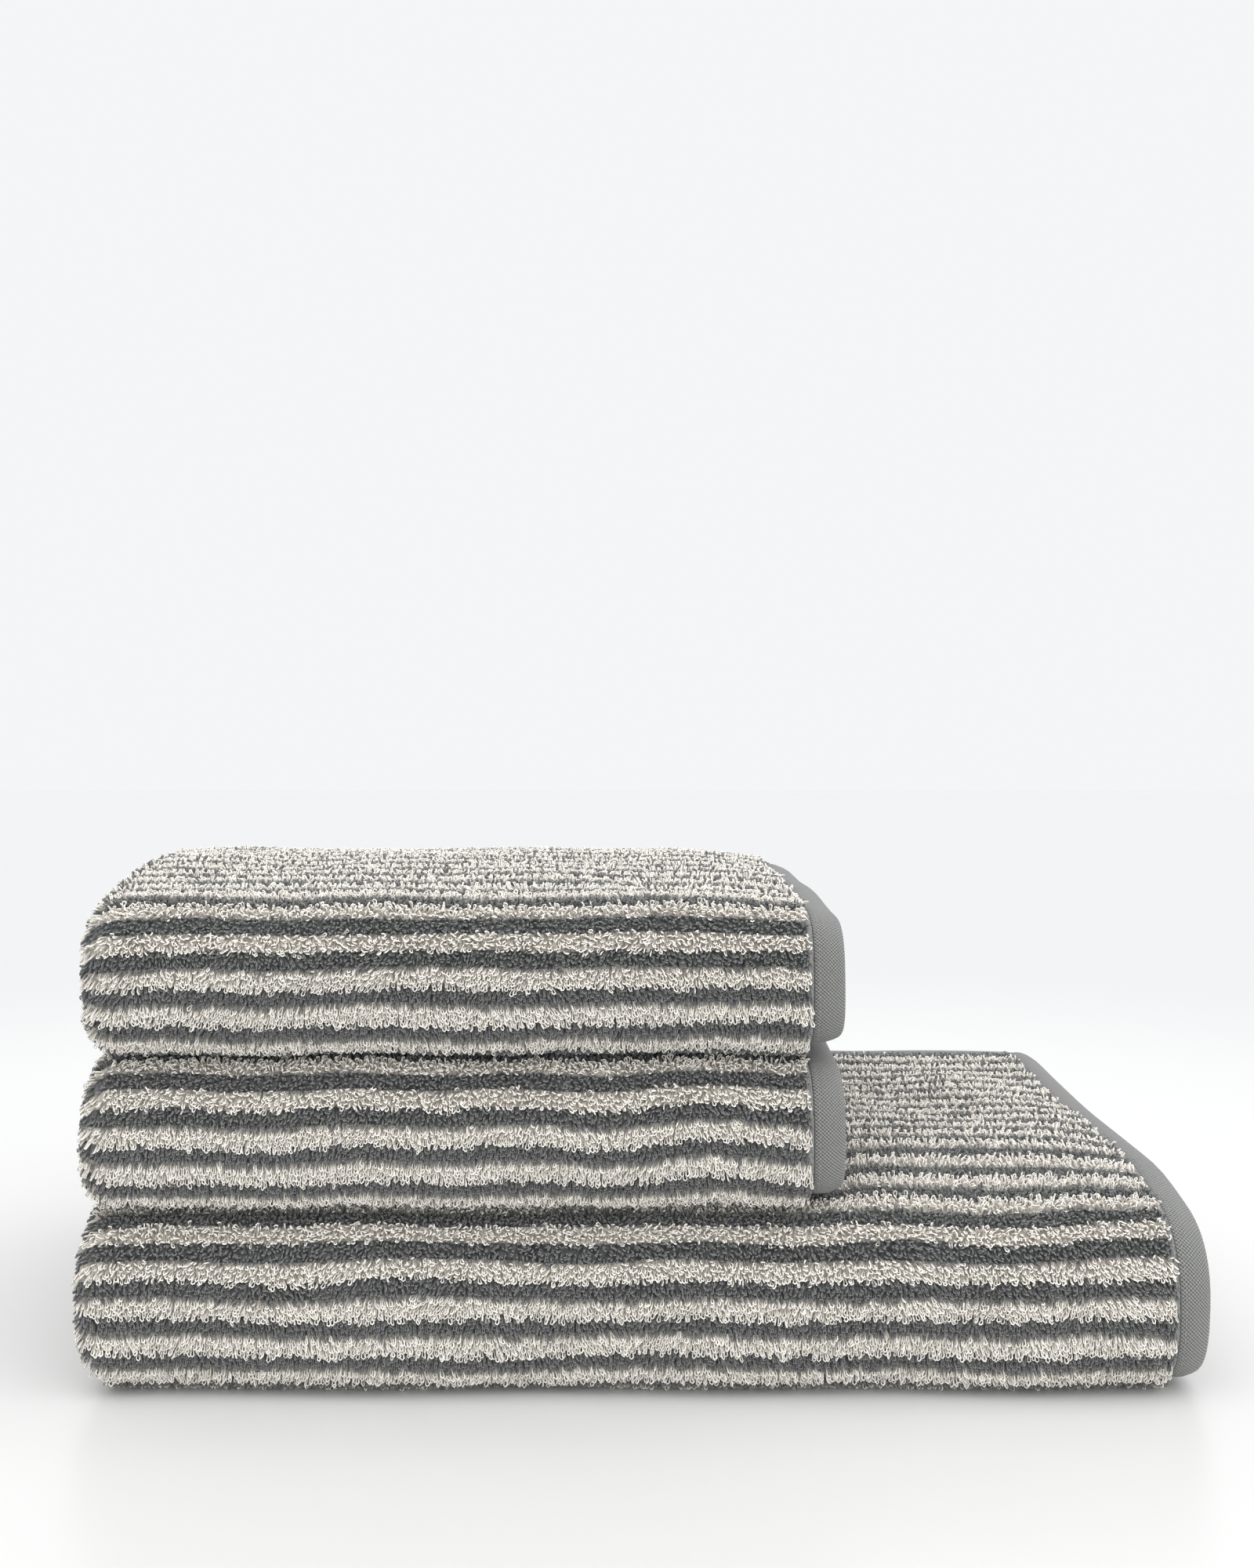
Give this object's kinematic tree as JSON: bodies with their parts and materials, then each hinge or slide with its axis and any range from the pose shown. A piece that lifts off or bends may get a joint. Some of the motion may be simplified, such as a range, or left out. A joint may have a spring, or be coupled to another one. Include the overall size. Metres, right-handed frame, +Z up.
{
  "type": "bath towel set",
  "caption": "Stack of folded striped terry towels: a wide bath towel below, narrower hand towels on its left part, each with woven hems, hanging loop and care label.",
  "frame": {"origin": "middle of the stack's footprint, on the surface that it stands on", "axes": "+X along the stripes, from the folded ends towards the hemmed ends; +Y from the rounded front folds towards the open edges at the back; +Z up"},
  "size_m": [0.5008, 0.2814, 0.2154],
  "materials": {
    "terry_cloth": "looped cotton terry, cream and charcoal stripes",
    "woven_hem": "flat woven cotton, mid grey",
    "loop_tape": "woven cotton tape, mid grey",
    "label_satin": "blank white satin tape"
  },
  "bodies": {
    "bath_towel": {"bath_terry_cloth": "terry_cloth", "bath_outer_end_hem": "woven_hem", "bath_inner_end_hem": "woven_hem", "bath_side_hem_low": "woven_hem", "bath_side_hem_high": "woven_hem", "bath_hanging_loop": "loop_tape", "bath_care_label": "label_satin"},
    "lower_hand_towel": {"lower_hand_terry_cloth": "terry_cloth", "lower_hand_outer_end_hem": "woven_hem", "lower_hand_inner_end_hem": "woven_hem", "lower_hand_side_hem_low": "woven_hem", "lower_hand_side_hem_high": "woven_hem", "lower_hand_hanging_loop": "loop_tape", "lower_hand_care_label": "label_satin"},
    "upper_hand_towel": {"upper_hand_terry_cloth": "terry_cloth", "upper_hand_outer_end_hem": "woven_hem", "upper_hand_inner_end_hem": "woven_hem", "upper_hand_side_hem_low": "woven_hem", "upper_hand_side_hem_high": "woven_hem", "upper_hand_hanging_loop": "loop_tape", "upper_hand_care_label": "label_satin"}
  },
  "joints": [
    {"name": "lower_hand_lift", "type": "slide", "parent": "bath_towel", "child": "lower_hand_towel", "axis": [0, 0, 1], "range_m": [0, 0.25]},
    {"name": "upper_hand_lift", "type": "slide", "parent": "lower_hand_towel", "child": "upper_hand_towel", "axis": [0, 0, 1], "range_m": [0, 0.25]}
  ]
}
